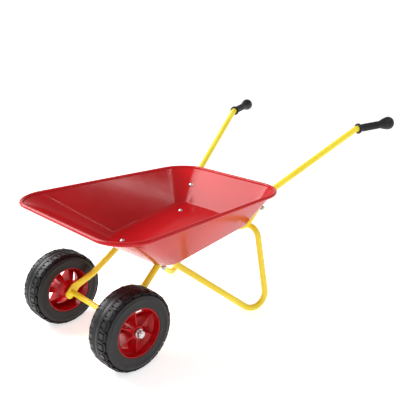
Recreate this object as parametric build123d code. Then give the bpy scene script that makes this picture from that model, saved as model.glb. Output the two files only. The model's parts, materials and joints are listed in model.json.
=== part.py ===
from build123d import *
import math
import os

# Child's twin-wheel wheelbarrow, in millimetres.
# +X is forward, towards the wheels. +Y is the left side. +Z is up, and the ground is z = 0.
# The origin is the middle of the footprint, on the ground.

os.makedirs("parts", exist_ok=True)

# Wheels and axle
tyre_radius = 80.0
tyre_width = 56.0
tyre_bore_radius = 50.0
sidewall_step_radius = 66.0
wheel_offset_y = 123.0
axle_x = 320.0
axle_z = tyre_radius
rod_radius = 4.0
rod_half_length = 159.0
hub_lip_radius = 48.3
hub_lip_half_width = 26.5
hub_seat_half_width = 23.5
hub_barrel_wall = 3.0
hub_web_thickness = 3.5
hub_web_outer_s = 12.0
hub_web_inner_s = -24.0
hub_boss_radius = 12.0
hub_boss_inner = -33.0
hub_boss_outer = 22.0
hub_rib_count = 6
hub_rib_thickness = 2.4
hub_rib_top_at_boss = 19.0
hub_rib_top_at_barrel = 15.0
window_inner_radius = 20.0
window_outer_radius = 39.0
window_angle = 36.0
left_window_phase = 0.0
right_window_phase = 22.0
bush_radius = 7.0
bush_running_clearance = 0.05
bush_length = 16.0
bush_flange_radius = 8.4
bush_flange_thickness = 2.0
side_play = 0.4

# Tubes
tube_radius = 7.0
tube_wall = 1.2
eye_half_width = 10.0
eye_thickness = 3.0
eye_tail = 6.5
eye_droop = 0.2
fork_eye_y = 84.5
spacer_radius = 6.0
spacer_bore_radius = 4.5

# Tray
rim_z = 275.8
rim_front_x = 387.2
rim_rear_x = -82.8
rim_front_half_width = 200.2
rim_rear_half_width = 165.2
rim_front_corner = 69.2
rim_rear_corner = 72.9
rim_bead_radius = 4.0
rim_inset = 3.6
floor_front_x = 220.0
floor_rear_x = -23.0
floor_half_width = 112.0
floor_front_corner = 42.0
floor_rear_corner = 24.0
floor_slope = 0.151
floor_z_at_front_bolt = 168.3
sheet_drop = 1.4
fold_radius = 9.0
rim_sheet = 1.0

# Handle tubes: the left one's corner points and bend radii, from the fork to the grip
fork_foot = Vector(270.0, 78.2, 109.0)
fork_bend = Vector(204.7, 68.3, 158.4)
rail_bend = Vector(4.0, 76.4, 188.6)
corner_bend = Vector(-23.4, 99.9, 190.8)
wall_bend = Vector(-75.0, 114.8, 258.7)
wrist_bend = Vector(-295.5, 195.7, 389.3)
knob_center = Vector(-386.75, 226.7, 396.5)
handle_bend_radii = [25.0, 35.0, 25.0, 40.0, 20.0]
grip_tube_depth = 77.0

# Grips, as distances from the wrist bend along the grip
grip_start = 5.1
collar_radius = 12.3
collar_thickness = 4.0
grip_neck_radius = 8.8
knob_radius = 15.3
knob_cap = 12.0

# Stand: the left half's corner points and bend radii
stand_bar_x = -38.6
stand_bar_z = 187.6
stand_shoulder_y = 120.8
stand_foot_apex = Vector(-47.0, 157.3, -34.37)
stand_strut_end = Vector(158.0, 66.8, 143.5)
stand_bend_radii = [26.0, 33.5]

# Bolts through the tray
bolt_radius = 3.0
bolt_hole_radius = 3.2
bolt_head_radius = 5.8
bolt_head_height = 3.0
bolt_seat_radius = 6.4
bolt_seat_depth = 0.2
nut_across_flats = 10.0
nut_height = 5.0
washer_radius = 6.2
washer_thickness = 1.2
front_bolt_x = 195.3
front_bolt_y = 69.0
rear_bolt_x = 15.5
rear_bolt_y = 75.9
wall_bolt_tube_point = Vector(-55.5, 110.4, 234.1)
wall_bolt_standoff = 0.45
wall_bolt_direction = Vector(0.743, -0.260, 0.617)
axle_nut_across_flats = 13.0
axle_nut_height = 8.0
axle_washer_radius = 8.5
axle_washer_thickness = 1.6


def mirrored(shape):
    """The same shape on the other side of the object."""
    return mirror(shape, about=Plane.XZ)


def both_sides(shape):
    """A left piece and its right twin, as separate solids."""
    return Compound(children=[shape, mirrored(shape)])


def floor_height(x):
    """Height of the tray's inner floor."""
    return floor_z_at_front_bolt - floor_slope * (x - front_bolt_x)


def rounded_outline(front_x, rear_x, front_half, rear_half, front_corner, rear_corner):
    """A closed tapered outline with round corners, flat at z = 0."""
    corners = [(front_x, front_half), (front_x, -front_half), (rear_x, -rear_half), (rear_x, rear_half)]
    sketch = make_face(Polyline(*corners, close=True))
    front = [v for v in sketch.vertices() if v.X > front_x - 1]
    sketch = fillet(front, front_corner)
    rear = [v for v in sketch.vertices() if v.X < rear_x + 1]
    return fillet(rear, rear_corner)


def tray_plug():
    """The solid that would fill the tray up to its rim."""
    top = rounded_outline(rim_front_x - rim_inset, rim_rear_x + rim_inset, rim_front_half_width - rim_inset,
                          rim_rear_half_width - rim_inset, rim_front_corner - rim_inset,
                          rim_rear_corner - rim_inset)
    along = math.cos(math.atan(floor_slope))
    middle_x = (floor_front_x + floor_rear_x) / 2
    half_length = (floor_front_x - floor_rear_x) / 2 / along
    floor_plane = Plane(origin=(middle_x, 0, floor_height(middle_x)), x_dir=(1, 0, -floor_slope),
                        z_dir=(floor_slope, 0, 1))
    bottom = rounded_outline(half_length, -half_length, floor_half_width, floor_half_width,
                             floor_front_corner, floor_rear_corner)
    body = loft([floor_plane * bottom, Pos(0, 0, rim_z) * top], ruled=True)
    floor_edges = body.faces().sort_by(Axis.Z)[0].edges()
    return fillet(floor_edges, fold_radius)


def rim_roll():
    """The rolled edge: a curl of sheet around the rim, open along its inner lower side."""
    outline = rounded_outline(rim_front_x, rim_rear_x, rim_front_half_width, rim_rear_half_width,
                              rim_front_corner, rim_rear_corner)
    path = Pos(0, 0, rim_z) * outline.faces()[0].outer_wire()
    section_plane = Plane(origin=path @ 0, z_dir=path % 0)
    ring = Circle(rim_bead_radius) - Circle(rim_bead_radius - rim_sheet)
    return sweep(section_plane * ring, path=path)


def floor_plane_at(x, y):
    """The plane of a bolt's shallow round seat in the tray's floor, looking up."""
    return Plane(origin=(x, y, floor_height(x) - bolt_seat_depth), x_dir=(1, 0, -floor_slope),
                 z_dir=(floor_slope, 0, 1))


def wall_plane_at(tube_point):
    """The plane of the tray's inner rear wall where a bolt through the handle tube comes out of it."""
    plug = tray_plug()
    inwards = Axis(tube_point, wall_bolt_direction)
    point = min((hit[0] for hit in plug.find_intersection_points(inwards)),
                key=lambda hit: (hit - tube_point).length)
    seat = point + wall_bolt_direction.normalized() * wall_bolt_standoff
    return Plane(origin=seat, x_dir=(0, 1, 0), z_dir=wall_bolt_direction)


front_bolt_plane = floor_plane_at(front_bolt_x, front_bolt_y)
rear_bolt_plane = floor_plane_at(rear_bolt_x, rear_bolt_y)
wall_bolt_plane = wall_plane_at(wall_bolt_tube_point)
bolt_planes = [front_bolt_plane, rear_bolt_plane, wall_bolt_plane]


def drill(radius):
    """Every left bolt's hole, as one cutting solid."""
    return [plane * Cylinder(radius, 90) for plane in bolt_planes]


def make_tray():
    plug = tray_plug()
    pan = Pos(0, 0, -sheet_drop) * plug - plug
    tray = pan + rim_roll()
    seats = [plane * Cylinder(bolt_seat_radius, 4, align=(Align.CENTER, Align.CENTER, Align.MIN))
             for plane in (front_bolt_plane, rear_bolt_plane)]
    for cutter in drill(bolt_hole_radius) + seats:
        tray = tray - cutter - mirrored(cutter)
    return tray


def handle_path():
    """Centre line of the left handle tube, from the fork arm to the grip."""
    tip = wrist_bend + (knob_center - wrist_bend).normalized() * grip_tube_depth
    corners = [fork_foot, fork_bend, rail_bend, corner_bend, wall_bend, wrist_bend, tip]
    return FilletPolyline(*corners, radius=handle_bend_radii)


def tube_along(path):
    """A bent round tube, open inside."""
    plane = Plane(origin=path @ 0, z_dir=path % 0)
    section = Circle(tube_radius) - Circle(tube_radius - tube_wall)
    return sweep(plane * section, path=path)


def flattening(start, start_dir, end, end_dir, flat_normal):
    """The stretch where a round tube is pressed down to a flat eye."""
    start_plane = Plane(origin=start, x_dir=start_dir.cross(flat_normal), z_dir=start_dir)
    end_plane = Plane(origin=end, x_dir=end_dir.cross(flat_normal), z_dir=end_dir)
    middle = start * 0.5 + end * 0.5
    middle_plane = Plane(origin=middle, x_dir=(start_dir + end_dir).cross(flat_normal),
                         z_dir=start_dir + end_dir)
    round_end = Circle(tube_radius)
    oval = Ellipse(eye_half_width - 1.5, (tube_radius + eye_thickness) / 2)
    flat = RectangleRounded(2 * eye_half_width, eye_thickness, eye_thickness / 2 - 0.01)
    return loft([start_plane * round_end, middle_plane * oval, end_plane * flat])


def eye_plate(center, away, flat_normal, neck, tail):
    """The flat end of a tube, from its neck to a round tip that is a tail's length past the bolt."""
    plane = Plane(origin=center, x_dir=away, z_dir=flat_normal)
    length = neck + tail
    tip = Pos(-tail, 0) * Circle(eye_half_width)
    outline = tip + Pos(length / 2 - tail, 0) * Rectangle(length, 2 * eye_half_width)
    return extrude(plane * outline, amount=eye_thickness / 2, both=True)


def make_handle_tube():
    """The left tube: handle, wall upright, floor rail, fork arm and axle eye."""
    tube = tube_along(handle_path())
    eye_center = Vector(axle_x, fork_eye_y, axle_z)
    eye_neck = 14.0
    fork_dir = (fork_foot - fork_bend).normalized()
    eye_dir = Vector(fork_dir.X, 0, fork_dir.Z - eye_droop).normalized()
    neck_end = eye_center - eye_dir * eye_neck
    side = Vector(0, 1, 0)
    press = flattening(fork_foot, fork_dir, neck_end, eye_dir, side)
    eye = eye_plate(eye_center, eye_dir * -1, side, eye_neck, eye_tail)
    tube = tube + press + eye
    tube -= Pos(axle_x, fork_eye_y, axle_z) * Rot(90, 0, 0) * Cylinder(rod_radius + 0.2, 20)
    for hole in drill(bolt_hole_radius):
        tube -= hole
    return tube


def make_stand_half():
    """The left half of the stand, from the middle of its cross bar to its bolted eye."""
    middle = Vector(stand_bar_x, 0, stand_bar_z)
    shoulder = Vector(stand_bar_x, stand_shoulder_y, stand_bar_z)
    corners = [middle, shoulder, stand_foot_apex, stand_strut_end]
    tube = tube_along(FilletPolyline(*corners, radius=stand_bend_radii))
    strut_dir = (stand_strut_end - stand_foot_apex).normalized()
    down = front_bolt_plane.z_dir * -1
    eye_depth = sheet_drop + 2 * tube_radius + eye_thickness / 2 + 0.2 - bolt_seat_depth
    eye_center = front_bolt_plane.origin + down * eye_depth
    eye_dir = (fork_bend - rail_bend).normalized()
    eye_neck = 17.0
    neck_end = eye_center - eye_dir * eye_neck
    press = flattening(stand_strut_end, strut_dir, neck_end, eye_dir, down)
    eye = eye_plate(eye_center, eye_dir * -1, down, eye_neck, 0)
    half = tube + press + eye
    return half - front_bolt_plane * Cylinder(bolt_hole_radius, 90)


def make_stand():
    half = make_stand_half()
    return half + mirrored(half)


def make_grip():
    """The left grip: a sleeve with a collar, a neck and a ringed knob."""
    axis_dir = (knob_center - wrist_bend).normalized()
    plane = Plane(origin=wrist_bend, x_dir=(0, 0, 1), z_dir=axis_dir)
    knob_at = (knob_center - wrist_bend).length
    start = grip_start
    neck = grip_neck_radius
    knob = knob_radius
    edge = collar_thickness
    points = [(0, start), (collar_radius - 0.8, start), (collar_radius, start + 0.8),
              (collar_radius, start + edge - 0.8), (collar_radius - 0.8, start + edge),
              (neck + 0.8, start + edge + 0.6), (neck, start + 14), (neck, knob_at - 32),
              (neck + 1.0, knob_at - 24), (neck + 3.4, knob_at - 17), (knob - 1.8, knob_at - 9),
              (knob - 0.3, knob_at - 4), (knob, knob_at), (knob - 0.9, knob_at + 4.5),
              (knob - 3.2, knob_at + 8.7), (knob - 7.0, knob_at + 11.2), (0, knob_at + knob_cap)]
    grip = revolve(Plane.XZ * make_face(Polyline(*points, close=True)), Axis.Z)
    grip -= Cylinder(tube_radius, grip_tube_depth + 0.2, align=(Align.CENTER, Align.CENTER, Align.MIN))
    return plane.location * grip


def bolt(plane, length):
    """A dome-head bolt whose head sits on the plane and whose shank goes down."""
    cap_radius = (bolt_head_radius**2 + bolt_head_height**2) / (2 * bolt_head_height)
    cap = Pos(0, 0, bolt_head_height - cap_radius) * Sphere(cap_radius)
    head = cap & Cylinder(bolt_head_radius, bolt_head_height, align=(Align.CENTER, Align.CENTER, Align.MIN))
    shank = Cylinder(bolt_radius, length, align=(Align.CENTER, Align.CENTER, Align.MAX))
    return plane.location * (head + shank)


def washer(plane, depth):
    """A flat washer below the plane."""
    ring = Cylinder(washer_radius, washer_thickness) - Cylinder(bolt_hole_radius, washer_thickness)
    return plane.location * Pos(0, 0, -depth - washer_thickness / 2) * ring


def nut(plane, depth, across_flats, height, bore):
    """A hexagon nut below the plane, with its corners rounded off."""
    hexagon = extrude(RegularPolygon(across_flats / 2, 6, major_radius=False), amount=height)
    corner = across_flats / math.sqrt(3)
    round_blank = chamfer(Cylinder(corner, height, align=(Align.CENTER, Align.CENTER, Align.MIN)).edges(),
                          0.6)
    body = (hexagon & round_blank) - Cylinder(bore, 4 * height)
    return plane.location * Pos(0, 0, -depth - height) * body


def axle_disc(y, thickness, radius, bore):
    """A ring on the axle whose inner face is at y."""
    ring = Cylinder(radius, thickness) - Cylinder(bore, thickness)
    return Pos(axle_x, y + thickness / 2, axle_z) * Rot(90, 0, 0) * ring


def wheel_place():
    """Turns a piece made about +Z into the left wheel's place, outer side outwards."""
    return Pos(axle_x, wheel_offset_y, axle_z) * Rot(-90, 0, 0)


def make_tyre():
    """Tyre section turned about the axle, with a stepped sidewall and a bead over the hub's edge."""
    half = tyre_width / 2
    bead = hub_lip_half_width
    seat = hub_seat_half_width
    points = [(tyre_bore_radius, -seat), (hub_lip_radius, -seat), (hub_lip_radius, -bead),
              (hub_lip_radius + 2, -bead - 1), (sidewall_step_radius, -half), (sidewall_step_radius + 1, -half + 0.8),
              (tyre_radius - 7, -half + 1.2), (tyre_radius - 1.5, -half + 7), (tyre_radius, -half + 12)]
    other = [(r, -s) for r, s in reversed(points)]
    face = make_face(Polyline(*points, *other, close=True))
    return wheel_place() * revolve(Plane.XZ * face, Axis.Z)


def window_cutter(phase):
    """One window through the hub's web."""
    depth = 2 * tyre_width
    ring = Cylinder(window_outer_radius, depth) - Cylinder(window_inner_radius, depth)
    reach = 2 * window_outer_radius
    half = math.radians(window_angle / 2)
    spread = reach * math.tan(half)
    wedge = make_face(Polyline((0, 0), (reach, spread), (reach, -spread), close=True))
    return Rot(0, 0, phase) * (ring & extrude(wedge, amount=depth, both=True))


def make_hub(phase):
    """A dished hub: barrel, conical web with windows, boss, and an outer rib between every two windows."""
    barrel_bore = tyre_bore_radius - hub_barrel_wall
    lip_bore = hub_lip_radius - 1.6
    low = (Align.CENTER, Align.CENTER, Align.MIN)
    barrel = Cylinder(tyre_bore_radius, 2 * hub_seat_half_width) + Cylinder(hub_lip_radius, 2 * hub_lip_half_width)
    barrel -= Cylinder(barrel_bore, 2 * hub_seat_half_width)
    barrel -= Cylinder(lip_bore, 2 * hub_lip_half_width)
    web_edge = barrel_bore + 1
    web_low = hub_web_inner_s - hub_web_thickness
    web_high = hub_web_outer_s - hub_web_thickness
    web_outline = [(0, web_low), (hub_boss_radius, web_low), (web_edge, web_high),
                   (web_edge, hub_web_outer_s), (hub_boss_radius, hub_web_inner_s), (0, hub_web_inner_s)]
    web = revolve(Plane.XZ * make_face(Polyline(*web_outline, close=True)), Axis.Z)
    pitch = 360 / hub_rib_count
    for index in range(hub_rib_count):
        web -= window_cutter(phase + index * pitch)
    boss_length = hub_boss_outer - hub_boss_inner
    boss = Pos(0, 0, hub_boss_inner) * Cylinder(hub_boss_radius, boss_length, align=low)
    rib_outline = [(hub_boss_radius - 1, hub_web_inner_s - 1), (web_edge, hub_web_outer_s - 1),
                   (web_edge, hub_rib_top_at_barrel), (hub_boss_radius - 1, hub_rib_top_at_boss)]
    rib = extrude(Plane.XZ * make_face(Polyline(*rib_outline, close=True)), amount=hub_rib_thickness / 2,
                  both=True)
    hub = barrel + web + boss
    for index in range(hub_rib_count):
        hub += Rot(0, 0, phase + (index + 0.5) * pitch) * rib
    hub -= Cylinder(bush_radius, 4 * boss_length)
    return wheel_place() * hub


def make_bush(outer_side):
    """A flanged plain bearing, pressed into one end of the hub's boss."""
    bore = rod_radius + bush_running_clearance
    low = (Align.CENTER, Align.CENTER, Align.MIN)
    body = Cylinder(bush_radius, bush_length, align=low)
    flange = Pos(0, 0, bush_length) * Cylinder(bush_flange_radius, bush_flange_thickness, align=low)
    bush = body + flange - Cylinder(bore, 4 * bush_length)
    if outer_side:
        return wheel_place() * Pos(0, 0, hub_boss_outer - bush_length) * bush
    return wheel_place() * Pos(0, 0, hub_boss_inner + bush_length) * Rot(180, 0, 0) * bush


def write(name, shape):
    shape.label = name
    export_step(shape, f"parts/{name}.step")


def write_pair(name, left):
    write(f"left_{name}", left)
    write(f"right_{name}", mirrored(left))


write("tray", make_tray())
write_pair("handle_tube", make_handle_tube())
write("stand", make_stand())
write_pair("grip", make_grip())

bolt_sets = {
    "front_floor": (front_bolt_plane, eye_thickness + 0.1 - bolt_seat_depth),
    "rear_floor": (rear_bolt_plane, -bolt_seat_depth),
    "rear_wall": (wall_bolt_plane, wall_bolt_standoff + 0.3),
}
for name, (plane, beyond_tube) in bolt_sets.items():
    depth = sheet_drop + 2 * tube_radius + 0.2 + beyond_tube
    nut_depth = depth + washer_thickness
    write(f"{name}_bolts", both_sides(bolt(plane, nut_depth + nut_height + 2)))
    write(f"{name}_washers", both_sides(washer(plane, depth)))
    write(f"{name}_nuts", both_sides(nut(plane, nut_depth, nut_across_flats, nut_height, bolt_radius)))

inner_washer_y = fork_eye_y + eye_thickness / 2
outer_washer_y = wheel_offset_y + hub_boss_outer + bush_flange_thickness + side_play
axle_nut_y = outer_washer_y + axle_washer_thickness
rod = Pos(axle_x, 0, axle_z) * Rot(90, 0, 0) * Cylinder(rod_radius, 2 * rod_half_length)
write("axle_rod", chamfer(rod.edges(), 0.8))
spacer_length = 2 * fork_eye_y - eye_thickness
write("axle_spacer_tube", axle_disc(-spacer_length / 2, spacer_length, spacer_radius, spacer_bore_radius))
inner_washer = axle_disc(inner_washer_y, axle_washer_thickness, axle_washer_radius, rod_radius + 0.1)
write("axle_inner_washers", both_sides(inner_washer))
outer_washer = axle_disc(outer_washer_y, axle_washer_thickness, axle_washer_radius, rod_radius + 0.1)
write("axle_outer_washers", both_sides(outer_washer))
nut_plane = Plane(origin=(axle_x, axle_nut_y, axle_z), z_dir=(0, -1, 0))
write("axle_lock_nuts", both_sides(nut(nut_plane, 0, axle_nut_across_flats, axle_nut_height, rod_radius)))

write_pair("tyre", make_tyre())
write("left_hub", make_hub(left_window_phase))
write("right_hub", mirrored(make_hub(right_window_phase)))
write_pair("inner_bush", make_bush(False))
write_pair("outer_bush", make_bush(True))
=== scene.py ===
import json
import math

import bpy
from mathutils import Matrix, Quaternion, Vector


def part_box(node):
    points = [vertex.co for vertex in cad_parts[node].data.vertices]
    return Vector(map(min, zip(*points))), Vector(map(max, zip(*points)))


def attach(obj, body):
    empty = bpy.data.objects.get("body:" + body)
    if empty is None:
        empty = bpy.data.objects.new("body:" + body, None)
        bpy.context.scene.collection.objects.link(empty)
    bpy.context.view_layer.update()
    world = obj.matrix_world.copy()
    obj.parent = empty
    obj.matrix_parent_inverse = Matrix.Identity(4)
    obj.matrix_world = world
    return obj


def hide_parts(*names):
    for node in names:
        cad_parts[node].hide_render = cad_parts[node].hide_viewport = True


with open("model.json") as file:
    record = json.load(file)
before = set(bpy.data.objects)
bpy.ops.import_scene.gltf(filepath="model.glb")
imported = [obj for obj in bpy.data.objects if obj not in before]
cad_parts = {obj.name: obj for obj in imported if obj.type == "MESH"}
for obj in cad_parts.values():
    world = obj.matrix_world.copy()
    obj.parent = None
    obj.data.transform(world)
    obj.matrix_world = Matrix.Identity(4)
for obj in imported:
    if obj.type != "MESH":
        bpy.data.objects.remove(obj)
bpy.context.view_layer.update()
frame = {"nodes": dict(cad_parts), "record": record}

cadNodes = frame["nodes"]
print("frame loaded:", len(cadNodes), "nodes")


# Small helpers for modelling by operators

def deselectAll():
    if bpy.context.object and bpy.context.object.mode != "OBJECT":
        bpy.ops.object.mode_set(mode="OBJECT")
    bpy.ops.object.select_all(action="DESELECT")


def makeActive(piece):
    deselectAll()
    piece.select_set(True)
    bpy.context.view_layer.objects.active = piece


def pick(piece, kind, test):
    # selects the faces, edges or vertices of a piece in edit mode that pass the test
    bpy.ops.mesh.select_mode(type=kind)
    bpy.ops.mesh.select_all(action="DESELECT")
    bpy.ops.object.mode_set(mode="OBJECT")
    mesh = piece.data
    if kind == "FACE":
        for face in mesh.polygons:
            face.select = test(face.center, face.normal)
    elif kind == "EDGE":
        for edge in mesh.edges:
            ends = [mesh.vertices[i].co for i in edge.vertices]
            edge.select = test(*ends)
    else:
        for vertex in mesh.vertices:
            vertex.select = test(vertex.co)
    bpy.ops.object.mode_set(mode="EDIT")


def applyPlace(piece):
    makeActive(piece)
    bpy.ops.object.transform_apply(location=True, rotation=True, scale=True)


def tidyMesh(piece, gap=0.00002):
    makeActive(piece)
    bpy.ops.object.mode_set(mode="EDIT")
    bpy.ops.mesh.select_all(action="SELECT")
    bpy.ops.mesh.remove_doubles(threshold=gap)
    bpy.ops.mesh.normals_make_consistent(inside=False)
    bpy.ops.object.mode_set(mode="OBJECT")


def turnProfile(name, profile, steps):
    # a profile of (radius, place along the axis) turned about the Y axis
    deselectAll()
    bpy.ops.mesh.primitive_plane_add(size=0.001, location=(0, 0, 0))
    piece = bpy.context.object
    piece.name = name
    bpy.ops.object.mode_set(mode="EDIT")
    bpy.ops.mesh.select_all(action="SELECT")
    bpy.ops.mesh.merge(type="CENTER")
    radius, along = profile[0]
    bpy.ops.transform.translate(value=(radius, along, 0))
    for nextRadius, nextAlong in profile[1:]:
        step = (nextRadius - radius, nextAlong - along, 0)
        bpy.ops.mesh.extrude_region_move(TRANSFORM_OT_translate={"value": step})
        radius, along = nextRadius, nextAlong
    bpy.ops.mesh.select_all(action="SELECT")
    bpy.ops.mesh.spin(steps=steps, angle=2 * math.pi, center=(0, 0, 0), axis=(0, 1, 0))
    bpy.ops.object.mode_set(mode="OBJECT")
    tidyMesh(piece)
    return piece


def joinAll(pieces, name):
    deselectAll()
    for piece in pieces:
        piece.select_set(True)
    bpy.context.view_layer.objects.active = pieces[0]
    bpy.ops.object.join()
    whole = bpy.context.object
    whole.name = name
    return whole


def copyOf(piece, name):
    twin = piece.copy()
    twin.data = piece.data.copy()
    twin.name = name
    bpy.context.scene.collection.objects.link(twin)
    return twin


def smooth(piece, degrees=35):
    makeActive(piece)
    bpy.ops.object.shade_smooth_by_angle(angle=math.radians(degrees))


# Shader maths

class Flow:
    # one socket in a node tree, so that a sum or product of flows adds its Math node
    def __init__(self, tree, socket=None):
        self.tree = tree
        self.socket = socket

    def node(self, kind, settings, inputs, output=0):
        made = self.tree.nodes.new(kind)
        for name, value in settings.items():
            setattr(made, name, value)
        for name, value in inputs.items():
            if isinstance(value, Flow):
                self.tree.links.new(value.socket, made.inputs[name])
            else:
                made.inputs[name].default_value = value
        return Flow(self.tree, made.outputs[output])

    def math(self, operation, first, second):
        return self.node("ShaderNodeMath", {"operation": operation}, {0: first, 1: second})

    def __add__(self, other):
        return self.math("ADD", self, other)

    def __radd__(self, other):
        return self.math("ADD", other, self)

    def __sub__(self, other):
        return self.math("SUBTRACT", self, other)

    def __rsub__(self, other):
        return self.math("SUBTRACT", other, self)

    def __mul__(self, other):
        return self.math("MULTIPLY", self, other)

    def __rmul__(self, other):
        return self.math("MULTIPLY", other, self)


def startFinish(name, constants):
    material = bpy.data.materials.new(name)
    material.use_nodes = True
    tree = material.node_tree
    tree.nodes.clear()
    output = tree.nodes.new("ShaderNodeOutputMaterial")
    shader = tree.nodes.new("ShaderNodeBsdfPrincipled")
    tree.links.new(shader.outputs[0], output.inputs["Surface"])
    for socket, value in constants.items():
        shader.inputs[socket].default_value = value
    return material, Flow(tree), shader


def feed(flow, shader, socket):
    flow.tree.links.new(flow.socket, shader.inputs[socket])


def placeOf(flow):
    return flow.node("ShaderNodeTexCoord", {}, {}, "Object")


def noise(flow, scale, detail=3.0, roughness=0.5, stretch=(1, 1, 1)):
    vector = flow.node("ShaderNodeMapping", {}, {"Vector": placeOf(flow), "Scale": stretch})
    return flow.node("ShaderNodeTexNoise", {}, {"Vector": vector, "Scale": scale, "Detail": detail,
                                                "Roughness": roughness}, "Fac")


def between(flow, factor, first, second):
    return flow.node("ShaderNodeMix", {"data_type": "RGBA"}, {0: factor, 6: first, 7: second}, 2)


def rangeOf(flow, value, low, high, toLow, toHigh):
    return flow.node("ShaderNodeMapRange", {}, {"Value": value, "From Min": low, "From Max": high,
                                                "To Min": toLow, "To Max": toHigh})


def bump(flow, height, strength, distance):
    return flow.node("ShaderNodeBump", {}, {"Height": height, "Strength": strength, "Distance": distance})


# Tray enamel: deep gloss red over a faint orange peel
enamelLook = {"red": (0.56, 0.010, 0.013, 1), "deepRed": (0.47, 0.007, 0.010, 1), "peelScale": 300.0,
              "peelStrength": 0.03, "smoothest": 0.12, "roughest": 0.22}


def makeEnamel():
    material, flow, shader = startFinish("gloss red enamel", {"IOR": 1.38, "Specular IOR Level": 0.36})
    clouds = noise(flow, 7.0)
    cloudMix = rangeOf(flow, clouds, 0.35, 0.65, 0, 1)
    feed(between(flow, cloudMix, enamelLook["deepRed"], enamelLook["red"]), shader, "Base Color")
    scuffs = noise(flow, 38.0, 5.0, 0.65)
    sheen = rangeOf(flow, scuffs, 0.35, 0.75, enamelLook["smoothest"], enamelLook["roughest"])
    feed(sheen, shader, "Roughness")
    peel = noise(flow, enamelLook["peelScale"], 2.0)
    feed(bump(flow, peel, enamelLook["peelStrength"], 0.0004), shader, "Normal")
    return material


# Tube powder coat: warm yellow, finely pimpled, speckled darker brown within 12 mm of the ground
powderLook = {"yellow": (0.85, 0.66, 0.026, 1), "paleYellow": (0.93, 0.77, 0.05, 1),
              "lowBrown": (0.30, 0.22, 0.10, 1), "brownTop": 0.012, "pimpleScale": 1100.0}


def makePowder():
    material, flow, shader = startFinish("yellow powder coat", {"IOR": 1.5})
    clouds = noise(flow, 16.0)
    cloudMix = rangeOf(flow, clouds, 0.35, 0.7, 0, 1)
    paint = between(flow, cloudMix, powderLook["yellow"], powderLook["paleYellow"])
    height = flow.node("ShaderNodeSeparateXYZ", {}, {"Vector": placeOf(flow)}, "Z")
    # darker brown specks mixed into the colour in the lowest 12 mm
    nearGround = rangeOf(flow, height, 0.0, powderLook["brownTop"], 1.0, 0.0)
    specks = rangeOf(flow, noise(flow, 160.0, 4.0, 0.7), 0.48, 0.62, 0.0, 0.7)
    feed(between(flow, nearGround * specks, paint, powderLook["lowBrown"]), shader, "Base Color")
    feed(0.24 + noise(flow, 60.0, 4.0) * 0.14, shader, "Roughness")
    feed(bump(flow, noise(flow, powderLook["pimpleScale"], 2.0), 0.07, 0.0003), shader, "Normal")
    return material


# Tyre rubber: near black, dulled and greyed in patches that are partly dust and partly painted sheen, with a
# moulded grain
rubberLook = {"black": (0.004, 0.004, 0.0045, 1), "dustAndSheen": (0.012, 0.012, 0.013, 1), "grainScale": 1500.0}


def makeRubber():
    material, flow, shader = startFinish("tyre rubber", {"IOR": 1.5, "Specular IOR Level": 0.42})
    patches = noise(flow, 22.0, 5.0, 0.6)
    # grey patches in the colour: partly dust, partly painted sheen
    feed(between(flow, rangeOf(flow, patches, 0.4, 0.72, 0, 1), rubberLook["black"], rubberLook["dustAndSheen"]),
         shader, "Base Color")
    feed(0.30 + patches * 0.22, shader, "Roughness")
    feed(bump(flow, noise(flow, rubberLook["grainScale"], 3.0), 0.12, 0.0003), shader, "Normal")
    return material


# Hub plastic: clear bright red, moulded smooth
hubLook = {"red": (0.54, 0.002, 0.006, 1), "deepRed": (0.38, 0.001, 0.003, 1)}


def makeHubPlastic():
    material, flow, shader = startFinish("red hub plastic", {"IOR": 1.36})
    clouds = noise(flow, 30.0, 3.0)
    feed(between(flow, rangeOf(flow, clouds, 0.35, 0.65, 0, 1), hubLook["deepRed"], hubLook["red"]),
         shader, "Base Color")
    feed(0.24 + noise(flow, 90.0, 4.0) * 0.16, shader, "Roughness")
    feed(bump(flow, noise(flow, 260.0, 2.0), 0.05, 0.0004), shader, "Normal")
    return material


# Grip plastic: black, satin, with a fine leathery grain
gripLook = {"black": (0.004, 0.004, 0.0045, 1), "grey": (0.012, 0.012, 0.013, 1), "grainScale": 800.0}


def makeGripPlastic():
    material, flow, shader = startFinish("black grip plastic", {"IOR": 1.4})
    wear = rangeOf(flow, noise(flow, 50.0, 4.0), 0.4, 0.7, 0, 1)
    feed(between(flow, wear, gripLook["black"], gripLook["grey"]), shader, "Base Color")
    feed(0.36 + noise(flow, 140.0, 4.0) * 0.2, shader, "Roughness")
    cells = flow.node("ShaderNodeTexVoronoi", {}, {"Vector": placeOf(flow), "Scale": gripLook["grainScale"]},
                      "Distance")
    feed(bump(flow, cells, 0.15, 0.0003), shader, "Normal")
    return material


# Zinc plate on the bolts, nuts, washers and rod
zincLook = {"bright": (0.80, 0.81, 0.82, 1), "dull": (0.52, 0.53, 0.53, 1)}


def makeZinc():
    material, flow, shader = startFinish("bright zinc plate", {"Metallic": 1.0})
    patches = noise(flow, 190.0, 4.0, 0.6)
    feed(between(flow, rangeOf(flow, patches, 0.35, 0.7, 0, 1), zincLook["dull"], zincLook["bright"]),
         shader, "Base Color")
    feed(0.18 + patches * 0.26, shader, "Roughness")
    feed(bump(flow, noise(flow, 1800.0, 2.0, 0.5, (1, 0.15, 1)), 0.10, 0.0002), shader, "Normal")
    return material


# Bush plastic: black, lightly mottled
bushLook = {"black": (0.02, 0.02, 0.02, 1), "grey": (0.045, 0.045, 0.045, 1)}


def makeBushPlastic():
    material, flow, shader = startFinish("black bush plastic", {"IOR": 1.5})
    feed(between(flow, noise(flow, 120.0, 4.0), bushLook["black"], bushLook["grey"]), shader, "Base Color")
    feed(0.30 + noise(flow, 300.0, 3.0) * 0.2, shader, "Roughness")
    return material


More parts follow.
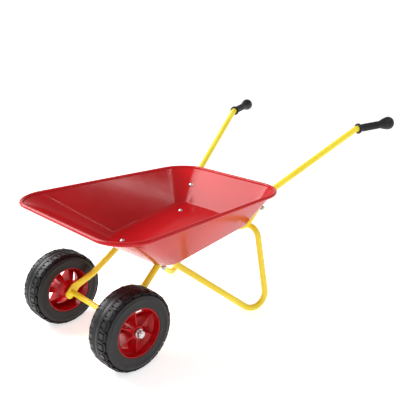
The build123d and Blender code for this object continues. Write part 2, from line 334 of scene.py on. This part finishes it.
finishes = {"tray_red": makeEnamel(), "frame_yellow": makePowder(), "tyre_black": makeRubber(),
            "hub_red": makeHubPlastic(), "grip_black": makeGripPlastic(), "bush_black": makeBushPlastic(),
            "zinc_steel": makeZinc()}


def coat(piece, slotName):
    piece.data.materials.clear()
    piece.data.materials.append(finishes[slotName])


for part in frame["record"]["subparts"]:
    coat(cadNodes[part["node"]], part["material_slot"])
print("finishes on the CAD nodes")


# Tyres: a turned carcass with a row of moated lugs on each shoulder
# each lug is a flat block with a U-shaped moat, folded down twice over the shoulder
tyre = {"segments": 144, "bandHalf": 0.0085, "lugsPerSide": 24, "lugWidth": 0.0200, "lugLength": 0.0221,
        "lugStart": 0.0045, "lugCut": 0.0093, "lugDepth": 0.0062, "lugCorner": 0.0062, "wall": 0.0020,
        "moat": 0.0026, "moatDepth": 0.0024, "firstFold": (0.0165, 12.0), "secondFold": (0.0215, 26.0)}


def tyreProfile(radius, half):
    band = tyre["bandHalf"]
    # drop below the crown and place along the axle, from the middle ring to the shoulder
    tread = [(0.0012, 0.0), (0.0012, 0.0034), (0.0, 0.0042), (0.0, 0.0056), (0.0012, 0.0062),
             (0.0012, 0.0068), (0.0, 0.0074), (0.0, band), (0.0036, band + 0.0006),
             (0.0038, 0.0160), (0.0060, 0.0210)]
    # drop below the crown and step in from the sidewall, from the shoulder to the bead
    sidewall = [(0.0082, 0.0024), (0.0112, 0.0012), (0.0130, 0.0009), (0.0136, 0.0001), (0.0150, 0.0),
                (0.0162, 0.0004), (0.0200, 0.0008), (0.0260, 0.0009), (0.0285, 0.0004),
                (0.0300, 0.0006), (0.0312, 0.0012), (0.0317, 0.0024), (0.0317, 0.0045), (0.0300, 0.0045)]
    side = [(radius - drop, along) for drop, along in tread]
    side += [(radius - drop, half - step) for drop, step in sidewall]
    return side + [(r, -along) for r, along in reversed(side)]


def makeLug(radius):
    deselectAll()
    middle = tyre["lugStart"] + tyre["lugLength"] / 2
    bpy.ops.mesh.primitive_cube_add(size=1, location=(0, middle, radius - tyre["lugDepth"] / 2),
                                    scale=(tyre["lugWidth"], tyre["lugLength"], tyre["lugDepth"]))
    lug = bpy.context.object
    applyPlace(lug)
    end = tyre["lugStart"] + tyre["lugLength"]
    bpy.ops.object.mode_set(mode="EDIT")
    pick(lug, "EDGE", lambda a, b: min(a.y, b.y) > end - 0.0001 and abs(a.z - b.z) > 0.001)
    bpy.ops.mesh.bevel(offset=tyre["lugCorner"], segments=4)
    for place, _ in (tyre["firstFold"], tyre["secondFold"]):
        bpy.ops.mesh.select_all(action="SELECT")
        bpy.ops.mesh.bisect(plane_co=(0, place, 0), plane_no=(0, 1, 0))
    pick(lug, "FACE", lambda center, normal: normal.z > 0.9 and center.z > radius - 0.0005)
    bpy.ops.mesh.inset(thickness=0.0004, depth=0.0)
    bpy.ops.mesh.inset(thickness=tyre["wall"] - 0.0004, depth=0.0)
    bpy.ops.mesh.inset(thickness=0.0003, depth=-tyre["moatDepth"])
    bpy.ops.mesh.inset(thickness=tyre["moat"], depth=0.0)
    bpy.ops.mesh.inset(thickness=0.0004, depth=tyre["moatDepth"])
    # the band end is cut off, so the moat runs out under the band
    bpy.ops.mesh.select_all(action="SELECT")
    bpy.ops.mesh.bisect(plane_co=(0, tyre["lugCut"], 0), plane_no=(0, 1, 0), use_fill=True, clear_inner=True)
    for place, angle in (tyre["secondFold"], tyre["firstFold"]):
        pick(lug, "VERT", lambda co: co.y > place + 0.00001)
        bpy.ops.transform.rotate(value=math.radians(angle), orient_axis="X", orient_type="GLOBAL",
                                 center_override=(0, place, radius))
    bpy.ops.object.mode_set(mode="OBJECT")
    return lug


def makeTyre():
    low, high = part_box("left_tyre")
    radius = (high.z - low.z) / 2
    half = (high.y - low.y) / 2
    carcass = turnProfile("carcass", tyreProfile(radius, half), tyre["segments"])
    lug = makeLug(math.sqrt(radius**2 - (tyre["lugWidth"] / 2)**2))
    pitch = 2 * math.pi / tyre["lugsPerSide"]
    lugs = []
    for index in range(tyre["lugsPerSide"]):
        for turned, shift in ((0.0, 0.0), (math.pi, 0.5)):
            one = copyOf(lug, "lug")
            roll = Matrix.Rotation((index + shift) * pitch, 4, "Y")
            one.matrix_world = roll @ Matrix.Rotation(turned, 4, "Z")
            applyPlace(one)
            lugs.append(one)
    bpy.data.objects.remove(lug)
    return joinAll([carcass] + lugs, "left_tyre_tread")


leftTyre = makeTyre()
rightTyre = copyOf(leftTyre, "right_tyre_tread")
for piece, node, body in ((leftTyre, "left_tyre", "left_wheel"), (rightTyre, "right_tyre", "right_wheel")):
    low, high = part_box(node)
    piece.location = (low + high) / 2
    applyPlace(piece)
    smooth(piece, 32)
    coat(piece, "tyre_black")
    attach(piece, body)
    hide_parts(node)
print("tyres made")


# Grips: a turned sleeve with a collar, fluted neck and ringed knob
grip = {"wrist": Vector((-0.2955, 0.1957, 0.3893)), "knob": Vector((-0.38675, 0.2267, 0.3965)),
        "segments": 72, "start": 0.0051, "bore": 0.00705, "boreEnd": 0.0772, "collar": 0.0123,
        "collarEdge": 0.004, "neck": 0.0086, "knobRadius": 0.0153, "cap": 0.0120, "ringDepth": 0.0006,
        "fluteHeight": 0.0004}


def gripProfile(knobAt):
    start = grip["start"]
    collarEnd = start + grip["collarEdge"]
    collar = grip["collar"]
    neck = grip["neck"]
    ball = grip["knobRadius"]
    dip = grip["ringDepth"]
    sleeve = [(0.0, grip["boreEnd"]), (grip["bore"], grip["boreEnd"]), (grip["bore"], start),
              (collar - 0.0008, start), (collar - 0.0002, start + 0.0003), (collar, start + 0.0009),
              (collar, collarEnd - 0.0009), (collar - 0.0002, collarEnd - 0.0003),
              (collar - 0.0008, collarEnd), (neck + 0.0012, collarEnd + 0.0004),
              (neck + 0.0004, collarEnd + 0.0016), (neck, start + 0.0090), (neck, start + 0.0140)]
    # radius and place from the knob's middle
    swell = [(neck, -0.0320), (neck + 0.0003, -0.0270), (neck + 0.0012, -0.0225), (neck + 0.0027, -0.0180),
             (neck + 0.0044, -0.0130), (ball - 0.0013, -0.0080), (ball - 0.0003, -0.0040), (ball, 0.0)]
    rings = [(ball - 0.0004, 0.0030), (ball - 0.0011, 0.0050), (ball - 0.0011 - dip, 0.0054),
             (ball - 0.0018, 0.0062), (ball - 0.0029, 0.0080), (ball - 0.0029 - dip, 0.0081),
             (ball - 0.0040, 0.0090), (ball - 0.0058, 0.0102), (ball - 0.0060 - dip, 0.0099),
             (ball - 0.0074, 0.0107), (0.0050, 0.0116), (0.0046, 0.0110), (0.0040, 0.0117),
             (0.0, grip["cap"])]
    return sleeve + [(r, knobAt + along) for r, along in swell + rings]


def makeGrip():
    reach = grip["knob"] - grip["wrist"]
    knobAt = reach.length
    sleeve = turnProfile("left_grip_sleeve", gripProfile(knobAt), grip["segments"])
    makeActive(sleeve)
    bpy.ops.object.mode_set(mode="EDIT")
    step = 2 * math.pi / grip["segments"]

    def onFlute(center, normal):
        outside = math.hypot(center.x, center.z) > grip["bore"] + 0.0008
        onNeck = grip["start"] + 0.0140 < center.y < knobAt - 0.0320
        return outside and onNeck and int((math.atan2(center.z, center.x) + math.pi) / step) % 3 == 0

    pick(sleeve, "FACE", onFlute)
    bpy.ops.mesh.inset(thickness=0.0002, depth=grip["fluteHeight"])
    bpy.ops.object.mode_set(mode="OBJECT")
    turn = Vector((0, 1, 0)).rotation_difference(reach.normalized()).to_matrix().to_4x4()
    sleeve.matrix_world = Matrix.Translation(grip["wrist"]) @ turn
    applyPlace(sleeve)
    return sleeve


leftGrip = makeGrip()
rightGrip = copyOf(leftGrip, "right_grip_sleeve")
rightGrip.scale = (1, -1, 1)
applyPlace(rightGrip)
tidyMesh(rightGrip)
for piece, node in ((leftGrip, "left_grip"), (rightGrip, "right_grip")):
    smooth(piece, 40)
    coat(piece, "grip_black")
    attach(piece, "frame")
    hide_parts(node)
print("grips made")


# Floor, light and camera
studio = {"floorSize": 60.0, "floorColour": (0.90, 0.90, 0.90, 1), "floorGlow": 0.56, "horizon": 1.10,
          "overhead": 0.42, "horizonEnds": 0.12, "overheadStarts": 0.45, "floorDrop": 0.0004}

deselectAll()
bpy.ops.mesh.primitive_plane_add(size=studio["floorSize"], location=(0, 0, -studio["floorDrop"]))
floor = bpy.context.object
floor.name = "floor"
floorLook = {"Roughness": 0.9, "Specular IOR Level": 0.1, "Emission Color": (1, 1, 1, 1),
             "Emission Strength": studio["floorGlow"]}
floorPaint, floorFlow, floorShader = startFinish("pale floor", floorLook)
feed(between(floorFlow, noise(floorFlow, 3.0), studio["floorColour"], (0.95, 0.95, 0.95, 1)),
     floorShader, "Base Color")
floor.data.materials.append(floorPaint)

world = bpy.data.worlds.new("studio")
bpy.context.scene.world = world
world.use_nodes = True
worldTree = world.node_tree
worldFlow = Flow(worldTree)
direction = worldFlow.node("ShaderNodeTexCoord", {}, {}, "Generated")
up = worldFlow.node("ShaderNodeSeparateXYZ", {}, {"Vector": direction}, "Z")
strength = rangeOf(worldFlow, up, studio["horizonEnds"], studio["overheadStarts"],
                   studio["horizon"], studio["overhead"])
background = worldTree.nodes["Background"]
background.inputs["Color"].default_value = (1, 1, 1, 1)
worldTree.links.new(strength.socket, background.inputs["Strength"])


def addSoftbox(name, place, target, size, power, roll):
    light = bpy.data.lights.new(name, "AREA")
    light.shape = "RECTANGLE"
    light.size, light.size_y = size
    light.energy = power
    lamp = bpy.data.objects.new(name, light)
    lamp.location = place
    aim = (Vector(target) - Vector(place)).to_track_quat("-Z", "Y")
    lamp.rotation_euler = (aim @ Quaternion((0, 0, 1), math.radians(roll))).to_euler()
    bpy.context.scene.collection.objects.link(lamp)
    return lamp


# name, place, target, size in metres, power in watts, roll in degrees
softboxes = [("key softbox", (0.72, -1.15, 1.30), (-0.05, 0.0, 0.24), (1.30, 1.10), 36.0, 0),
             ("fill softbox", (1.50, 1.90, 1.25), (0.05, 0.0, 0.15), (1.60, 1.60), 9.0, 0),
             ("strip softbox", (-0.63, 0.745, 1.28), (-0.011, -0.139, 0.237), (0.62, 0.05), 1.3, -50)]
for softbox in softboxes:
    addSoftbox(*softbox)

view = {"place": (0.8685, 0.8848, 0.6232), "yaw": -133.7, "pitch": -17.41, "lens": 50.37, "sensor": 36.0}
yaw = math.radians(view["yaw"])
pitch = math.radians(view["pitch"])
look = Vector((math.cos(pitch) * math.cos(yaw), math.cos(pitch) * math.sin(yaw), math.sin(pitch)))
cameraData = bpy.data.cameras.new("camera")
cameraData.lens = view["lens"]
cameraData.sensor_width = view["sensor"]
camera = bpy.data.objects.new("camera", cameraData)
camera.location = view["place"]
camera.rotation_euler = look.to_track_quat("-Z", "Y").to_euler()
bpy.context.scene.collection.objects.link(camera)
bpy.context.scene.camera = camera
bpy.context.scene.view_settings.view_transform = "Standard"
print("studio ready")
